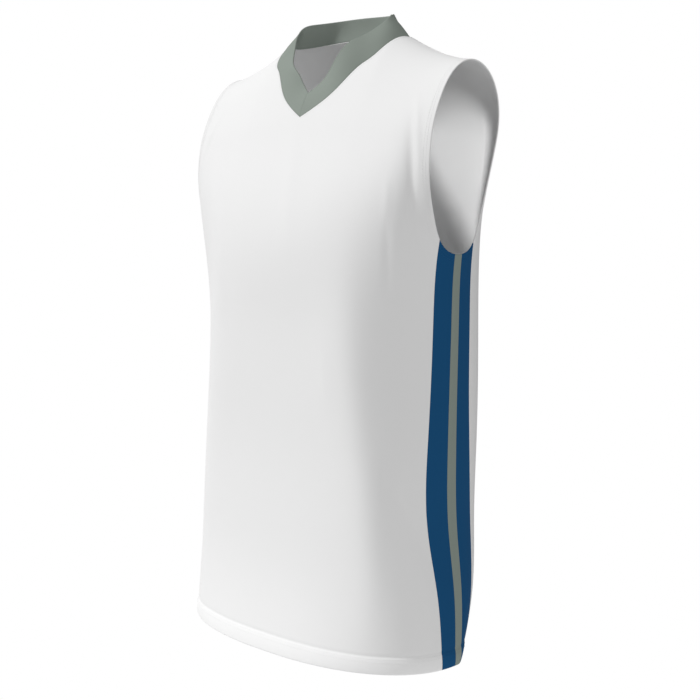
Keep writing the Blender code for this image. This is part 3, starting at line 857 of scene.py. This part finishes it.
def strip_grid(seams):
    """Turn and reach of a lengthwise strip between two seams, each a share of the side panel's
    cloth away from the side line, on its half of the form. Turns and reaches are blended from seam
    to seam, and then the rows above STRIP_FOOT are stretched up to the armhole's edge."""
    level_rows = hem_rows(STRIP_FOOT)[:-1]
    up = end_spaced(STRIP_RISE, STRIP_UPPER_ROWS)
    turns, reaches = [], []
    for half, share in seams:
        top = float(armhole_line(np.array([line_top(share, half)]), half)[1][0])
        reach = np.concatenate([level_rows, STRIP_FOOT + (top - STRIP_FOOT) * up])
        turns.append(turn_past_side(side_cloth(share, roll_and_drop(reach)[1]), reach, half))
        reaches.append(reach)
    blend = edge_spaced(STRIP_WIDTH, STRIP_COLUMNS)
    turn = turns[0][:, None] * (1 - blend) + turns[1][:, None] * blend
    reach = reaches[0][:, None] * (1 - blend) + reaches[1][:, None] * blend
    level = np.linspace(SIDE_PANEL_LEVEL, 1, 241)
    front_turn, front_reach = armhole_line(level, FRONT)
    back_turn, back_reach = armhole_line(level[::-1], BACK)
    edge = np.concatenate([front_turn, back_turn]), np.concatenate([front_reach, back_reach])
    stretch = np.clip((STRIP_FOOT - reach) / (STRIP_FOOT - reach[-1]), 0, 1)
    return turn, reach + stretch * (np.interp(turn[-1], *edge) - reach[-1])


def side_strip(name, side, seams):
    """A strip: one shell over its grid, closed all round, with the armhole along its last row."""
    turn, reach = strip_grid(seams)
    base = form(turn, reach)
    closed = np.ones(turn.shape, bool)
    closed[1:-1, 1:-1] = False
    borders = [base[:, 0], base[:, -1], base[-1]]
    shell = cloth_shell(turn, reach, closed, borders, base[-1], FRONT, side)
    return sew(name, [(shell, -side)])


def strip_rows(seams):
    """Rows of stitches of a strip: along the hem, and below the armhole's edge on each half."""
    turn, reach = strip_grid(seams)
    spread = np.linspace(0, 1, 40)
    rows = []
    for height in HEM_STITCHES:
        row = np.searchsorted(-reach[:, 0], height - reach_of(LENGTH))
        line = turn[row, 0] * (1 - spread) + turn[row, -1] * spread
        rows.append((line, np.full(len(spread), reach_of(LENGTH) - height), FAR))
    # A blue strip lies on one half of the form, and the stripe on both.
    for gap in ARM_STITCHES:
        if seams[0][0] == seams[1][0]:
            rows.append(arm_row(gap, seams[0][0], 0, 1))
        else:
            rows += [arm_row(gap, half, None, 0) for half in (FRONT, BACK)]
    return rows


# The same interlock, dyed dark blue and sage grey: matt, without the white's sheen.
blue_interlock = knit("blue polyester interlock", "#124A75", "#134C78", sheen=0.0, **INTERLOCK)
grey_interlock = knit("grey polyester interlock", "#858E87", "#8A938C", sheen=0.0, **INTERLOCK)
blue_thread = spun_thread("blue spun polyester thread", "#14507D")
grey_thread = spun_thread("grey spun polyester thread", "#8A938C")

for side, word in ((LEFT, "left"), (RIGHT, "right")):
    # Each strip's node, its seams, cloth, thread and slot, its flat size and area, and the piece
    # before it.
    strips = (
        (word + "_side_front", [(FRONT, 1), (FRONT, 0)], blue_interlock, blue_thread, "blue_knit",
         (0.0304, 0.488), 0.0126, "front_panel"),
        (word + "_side_stripe", [(FRONT, 0), (BACK, 0)], grey_interlock, grey_thread,
         "grey_stripe", (0.0156, 0.471), 0.0065, word + "_side_front"),
        (word + "_side_back", [(BACK, 0), (BACK, 1)], blue_interlock, blue_thread, "blue_knit",
         (0.0304, 0.484), 0.0125, word + "_side_stripe"),
    )
    for node, seams, material, thread, slot, flat, area, before in strips:
        strip = side_strip(node + "_cloth", side, seams)
        strip.data.materials.append(material)
        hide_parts(node)
        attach(strip, "root")
        lines = thread_lines(strip_rows(seams), FRONT, (), sides=(side,))
        strip_stitches = stitches(node + "_stitches", lines, thread)
        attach(strip_stitches, "root")


# ================================================================ collar
# One band of grey rib knit, folded double and mitred at the point of the V. It is sewn to the neck
# edge and stands up behind the neck.
COLLAR_CLOTH = 0.0019      # the band is folded double
COLLAR_ROLL = 0.0012       # how far it bulges outwards between its edges
MITRE_DEPTH = 0.0005       # groove where the two ends of the band meet at the point of the V
MITRE_WIDTH = 0.0008
QUARTER_STEPS = 120        # points along the neck seam from the centre to a shoulder
BAND_COLUMNS = 16          # columns between the band's edges
BAND_WIDTH = 0.026         # roughly, only for the edge steps

# The free edge, against stations along the band: 0 at the point of the V, 1 at the left shoulder
# seam, 2 at the middle of the back, 3 at the right shoulder seam, and then back to the V.
COLLAR_COLUMNS = ("station", "x", "y", "z")
COLLAR_EDGE = (
    (0.000, 0.0000, -0.0410, -0.0635),
    (0.250, 0.0124, -0.0346, -0.0535),
    (0.500, 0.0265, -0.0313, -0.0375),
    (0.750, 0.0505, -0.0230, -0.0070),
    (0.875, 0.0630, -0.0062, 0.0030),
    (1.000, 0.0745, 0.0160, 0.0205),
    (1.125, 0.0703, 0.0269, 0.0262),
    (1.250, 0.0635, 0.0385, 0.0287),
    (1.500, 0.0445, 0.0600, 0.0310),
    (2.000, 0.0000, 0.0655, 0.0325),
    (2.500, -0.0430, 0.0590, 0.0315),
    (2.750, -0.0666, 0.0438, 0.0290),
    (3.000, -0.0765, 0.0195, 0.0155),
    (3.125, -0.0620, -0.0010, -0.0060),
    (3.250, -0.0460, -0.0199, -0.0220),
    (3.500, -0.0260, -0.0313, -0.0380),
    (3.750, -0.0124, -0.0346, -0.0535),
)


def collar_band(name):
    """The band is ruled between its sewn edge and its free edge, and bulges as half a sine. The
    mitre is a groove along the centre line, as a bell across it."""
    up = np.linspace(0, 1, QUARTER_STEPS)
    up = (up + soft_step(up)) / 2
    front_turn, front_reach = neck_line(up, FRONT)
    back_turn, back_reach = neck_line(up[::-1][1:], BACK)
    left = form(np.concatenate([front_turn, back_turn]), np.concatenate([front_reach, back_reach]))
    left[[0, -1], 0] = 0
    sewn = np.concatenate([left, left[-2::-1] * [-1, 1, 1]])
    left_station = np.concatenate([up, 1 + up[1:]])
    station = np.concatenate([left_station, 4 - left_station[-2::-1]])
    edge = COLLAR_EDGE + ((4.0, *COLLAR_EDGE[0][1:]),)
    free = np.stack([smooth_column(edge, COLLAR_COLUMNS, axis, station) for axis in "xyz"], axis=1)
    share = edge_spaced(BAND_WIDTH, BAND_COLUMNS)
    ruled = sewn[:, None] * (1 - share[:, None]) + free[:, None] * share[:, None]
    along = np.gradient(ruled, axis=0)
    normal = np.cross(along, (free - sewn)[:, None, :])
    normal /= np.linalg.norm(normal, axis=-1, keepdims=True)
    width = np.linalg.norm(free - sewn, axis=-1)[:, None]
    half = COLLAR_CLOTH / 2
    edge_gap = np.minimum(share, 1 - share)[None, :] * width
    close = half * np.sqrt(np.clip(1 - (1 - np.clip(edge_gap / half, 0, 1)) ** 2, 0, 1))
    mitre = MITRE_DEPTH * np.exp(-(ruled[..., 0] / MITRE_WIDTH) ** 2) * (ruled[..., 1] < 0)
    lift = COLLAR_ROLL * np.sin(math.pi * share)[None, :] - half - mitre
    outer = ruled + normal * (lift + close)[..., None]
    inner = ruled + normal * (lift - close)[..., None]
    closed = np.zeros(close.shape, bool)
    closed[:, [0, -1]] = True
    length = np.concatenate([[0], np.cumsum(np.linalg.norm(np.diff(sewn, axis=0), axis=1))])
    cloth = np.stack(np.broadcast_arrays(length[:, None], share[None, :] * width), axis=-1)
    shell = {
        "outer": outer, "inner": inner, "closed": closed, "cloth": cloth,
        "doubled": np.ones(close.shape),
    }
    return sew(name, [(shell, RIGHT)])


# Rib knit of the same yarn: its raised columns are wider and deeper than interlock's.
grey_rib = knit("grey rib knit", "#878F88", "#878F88", 0.0016, 0.0011, 0.00020, sheen=0.0)
collar = collar_band("collar_band")
collar.data.materials.append(grey_rib)
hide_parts("collar")
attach(collar, "root")


# ================================================================ studio
# A pale floor at the height of a wearer's feet and an even white surround. A soft key light stands
# at the front, to the left of the camera, with a low lamp below it; a weaker fill stands beside
# the camera, and one more lamp rakes across the back from behind.
FLOOR_HEIGHT = -1.45
KEY_AZIMUTH, KEY_ELEVATION = math.radians(-48.5), math.radians(44)
KEY_STRENGTH = 2.77
KEY_SOFTNESS = math.radians(9)
FILL_AZIMUTH, FILL_ELEVATION = math.radians(63), math.radians(4)
FILL_STRENGTH = 0.90
FILL_SOFTNESS = math.radians(30)
LOW_ELEVATION = math.radians(-20)
LOW_STRENGTH = 0.33
LOW_SOFTNESS = math.radians(40)
BACK_AZIMUTH, BACK_ELEVATION = math.radians(-140), math.radians(10)
BACK_STRENGTH = 1.3
BACK_SOFTNESS = math.radians(15)
SURROUND = 0.34


def towards(azimuth, elevation):
    """Unit vector of a direction; azimuth 0 is the front and 90 degrees the wearer's left."""
    level = math.cos(elevation)
    return np.array([math.sin(azimuth) * level, -math.cos(azimuth) * level, math.sin(elevation)])


def facing(back_direction):
    """Turn of a camera or lamp that looks along minus back_direction with its top upwards."""
    return Vector(back_direction).to_track_quat("Z", "Y").to_euler()


def make_floor():
    """A level disc: rings of points at even turns, the innermost too small to see."""
    turns = np.linspace(0, 2 * math.pi, 97)[:-1]
    radii = np.array([0.0002, 0.3, 0.7, 1.1, 1.4])
    ring_points = np.stack([np.cos(turns), np.sin(turns)], axis=-1)
    points = radii[:, None, None] * ring_points
    points = np.concatenate([points, np.full(points.shape[:2] + (1,), FLOOR_HEIGHT)], axis=-1)
    index = np.arange(points.shape[0] * points.shape[1]).reshape(points.shape[:2])
    index = np.concatenate([index, index[:, :1]], axis=1)
    return make_mesh("floor", points.reshape(-1, 3), grid_quads(index)[:, ::-1])


floor = make_floor()
paper = bpy.data.materials.new("pale studio paper")
paper.use_nodes = True
matt = paper.node_tree.nodes["Principled BSDF"]
matt.inputs["Base Color"].default_value = srgb("#F4F4F4")
matt.inputs["Roughness"].default_value = 0.9
floor.data.materials.append(paper)


def soft_light(name, strength, softness, direction):
    """A far lamp that shines from a direction; softness is the angle that it fills in the sky."""
    lamp = bpy.data.objects.new(name, bpy.data.lights.new(name, "SUN"))
    lamp.data.energy = strength
    lamp.data.angle = softness
    lamp.rotation_euler = facing(direction)
    bpy.context.scene.collection.objects.link(lamp)


soft_light("key", KEY_STRENGTH, KEY_SOFTNESS, towards(KEY_AZIMUTH, KEY_ELEVATION))
soft_light("fill", FILL_STRENGTH, FILL_SOFTNESS, towards(FILL_AZIMUTH, FILL_ELEVATION))
soft_light("low", LOW_STRENGTH, LOW_SOFTNESS, towards(KEY_AZIMUTH, LOW_ELEVATION))
soft_light("back", BACK_STRENGTH, BACK_SOFTNESS, towards(BACK_AZIMUTH, BACK_ELEVATION))

# The surround is white to the camera, but lights the jersey as a grey one.
world = bpy.data.worlds.new("white surround")
bpy.context.scene.world = world
world.use_nodes = True
sky = world.node_tree
background = sky.nodes["Background"]
rays = add(sky, "ShaderNodeLightPath")
level = add(sky, "ShaderNodeMapRange", {"To Min": SURROUND, "To Max": 1.0},
            {"Value": rays.outputs["Is Camera Ray"]})
sky.links.new(level.outputs[0], background.inputs["Strength"])
background.inputs["Color"].default_value = (1, 1, 1, 1)

bpy.context.scene.view_settings.view_transform = "Standard"

CAMERA_AZIMUTH = math.radians(43.0)
CAMERA_ELEVATION = math.radians(6.8)
CAMERA_DISTANCE = 1.555
AIM_RIGHT = 0.0217         # where the camera aims: this far to its right of the origin
AIM_HEIGHT = -0.3718
LENS = 65.16               # focal length in millimetres

eye = towards(CAMERA_AZIMUTH, CAMERA_ELEVATION)
right = np.array([math.cos(CAMERA_AZIMUTH), math.sin(CAMERA_AZIMUTH), 0])
camera = bpy.data.objects.new("camera", bpy.data.cameras.new("camera"))
camera.data.lens = LENS
camera.location = right * AIM_RIGHT + np.array([0, 0, AIM_HEIGHT]) + eye * CAMERA_DISTANCE
camera.rotation_euler = facing(eye)
bpy.context.scene.collection.objects.link(camera)
bpy.context.scene.camera = camera
